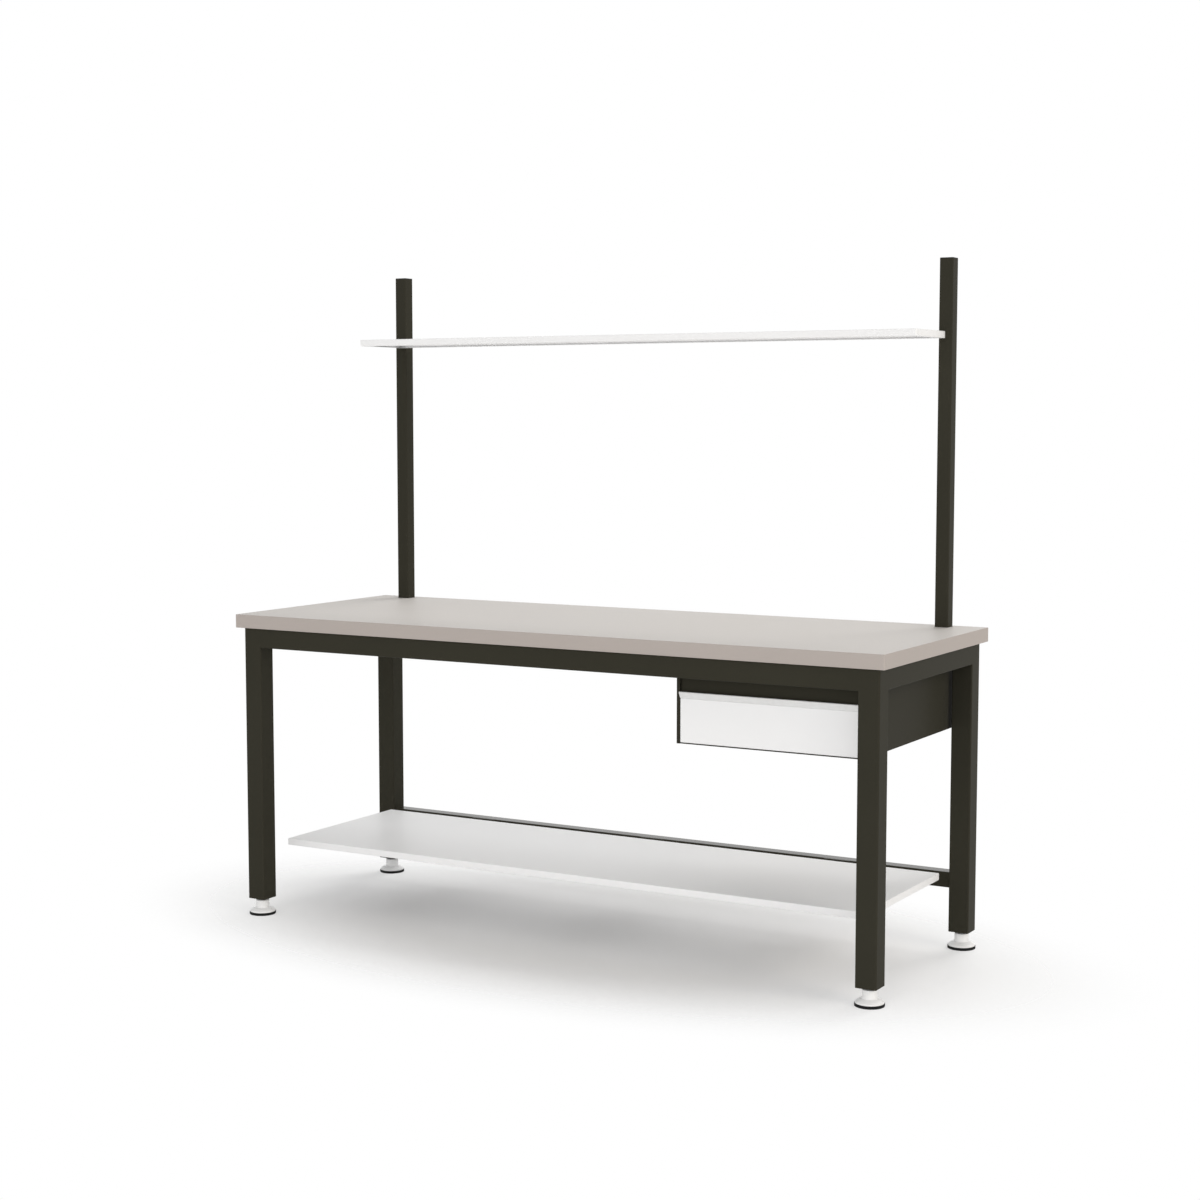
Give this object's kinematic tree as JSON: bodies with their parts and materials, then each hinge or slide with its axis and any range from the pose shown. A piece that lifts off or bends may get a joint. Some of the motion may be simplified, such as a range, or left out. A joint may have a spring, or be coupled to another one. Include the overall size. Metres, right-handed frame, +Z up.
{
  "type": "workbench with overhead shelf",
  "caption": "Long steel-framed workbench with a laminated top, a drawer hung at one side, a lower shelf, and rear uprights that carry an overhead shelf, on levelling feet.",
  "frame": {"origin": "on the floor under the middle of the worktop", "axes": "+X along the bench to the right as seen from the front, +Y to the back where the uprights stand, +Z up"},
  "size_m": [2.1, 0.77, 1.961],
  "materials": {
    "anthracite_paint": "satin powder coat, dark olive anthracite",
    "light_paint": "smooth powder coat, very light grey",
    "laminate": "fine matt laminate, warm grey",
    "edging": "matt plastic edge band, warm grey",
    "board": "particle board faced with a pale backing sheet",
    "zinc": "bright zinc plate",
    "foot_casting": "die cast, satin",
    "rubber": "matt black",
    "grip_aluminium": "anodised, satin",
    "black_plastic": "matt black"
  },
  "bodies": {
    "bench": {"leg_front_left": "anthracite_paint", "leg_front_right": "anthracite_paint", "leg_rear_left": "anthracite_paint", "leg_rear_right": "anthracite_paint", "front_rail": "anthracite_paint", "rear_rail": "anthracite_paint", "side_rail_left": "anthracite_paint", "side_rail_right": "anthracite_paint", "rear_stretcher": "anthracite_paint", "worktop_tabs": "anthracite_paint", "upright_left": "anthracite_paint", "upright_right": "anthracite_paint", "shelf_arms": "anthracite_paint", "drawer_side_left": "anthracite_paint", "drawer_side_right": "anthracite_paint", "drawer_housing_back": "anthracite_paint", "drawer_housing_base": "anthracite_paint", "drawer_filler": "anthracite_paint", "overhead_shelf": "light_paint", "overhead_stiffener": "light_paint", "lower_shelf": "light_paint", "lower_shelf_stiffeners": "light_paint", "worktop_laminate": "laminate", "worktop_edging": "edging", "worktop_core": "board", "worktop_screws": "zinc", "frame_bolts": "zinc", "frame_nuts": "zinc", "overhead_bolts": "zinc", "lower_shelf_screws": "zinc", "upright_spigot_left": "zinc", "upright_spigot_right": "zinc", "overhead_arm_left": "zinc", "overhead_arm_right": "zinc", "runner_packers": "zinc", "runner_outer_left": "zinc", "runner_outer_right": "zinc", "leg_inserts": "black_plastic", "upright_caps": "black_plastic"},
    "drawer": {"drawer_box": "light_paint", "drawer_box_ends": "light_paint", "drawer_front": "light_paint", "drawer_grip": "grip_aluminium", "drawer_screws": "zinc", "runner_inner_left": "zinc", "runner_inner_right": "zinc"},
    "runner_middle_left": {"runner_middle_left": "zinc"},
    "runner_middle_right": {"runner_middle_right": "zinc"},
    "foot_front_left": {"foot_spindle_front_left": "zinc", "foot_base_front_left": "foot_casting", "foot_pad_front_left": "rubber"},
    "foot_front_right": {"foot_spindle_front_right": "zinc", "foot_base_front_right": "foot_casting", "foot_pad_front_right": "rubber"},
    "foot_rear_left": {"foot_spindle_rear_left": "zinc", "foot_base_rear_left": "foot_casting", "foot_pad_rear_left": "rubber"},
    "foot_rear_right": {"foot_spindle_rear_right": "zinc", "foot_base_rear_right": "foot_casting", "foot_pad_rear_right": "rubber"}
  },
  "joints": [
    {"name": "drawer_slide", "type": "slide", "parent": "bench", "child": "drawer", "axis": [0, -1, 0], "range_m": [0, 0.5]},
    {"name": "runner_left_slide", "type": "slide", "parent": "bench", "child": "runner_middle_left", "axis": [0, -1, 0], "range_m": [0, 0.25]},
    {"name": "runner_right_slide", "type": "slide", "parent": "bench", "child": "runner_middle_right", "axis": [0, -1, 0], "range_m": [0, 0.25]},
    {"name": "foot_front_left_height", "type": "slide", "parent": "bench", "child": "foot_front_left", "axis": [0, 0, -1], "range_m": [-0.005, 0.03]},
    {"name": "foot_front_right_height", "type": "slide", "parent": "bench", "child": "foot_front_right", "axis": [0, 0, -1], "range_m": [-0.005, 0.03]},
    {"name": "foot_rear_left_height", "type": "slide", "parent": "bench", "child": "foot_rear_left", "axis": [0, 0, -1], "range_m": [-0.005, 0.03]},
    {"name": "foot_rear_right_height", "type": "slide", "parent": "bench", "child": "foot_rear_right", "axis": [0, 0, -1], "range_m": [-0.005, 0.03]}
  ],
  "couplings": [
    {"joint": "runner_left_slide", "follows": "drawer_slide", "ratio": 0.5},
    {"joint": "runner_right_slide", "follows": "drawer_slide", "ratio": 0.5}
  ]
}
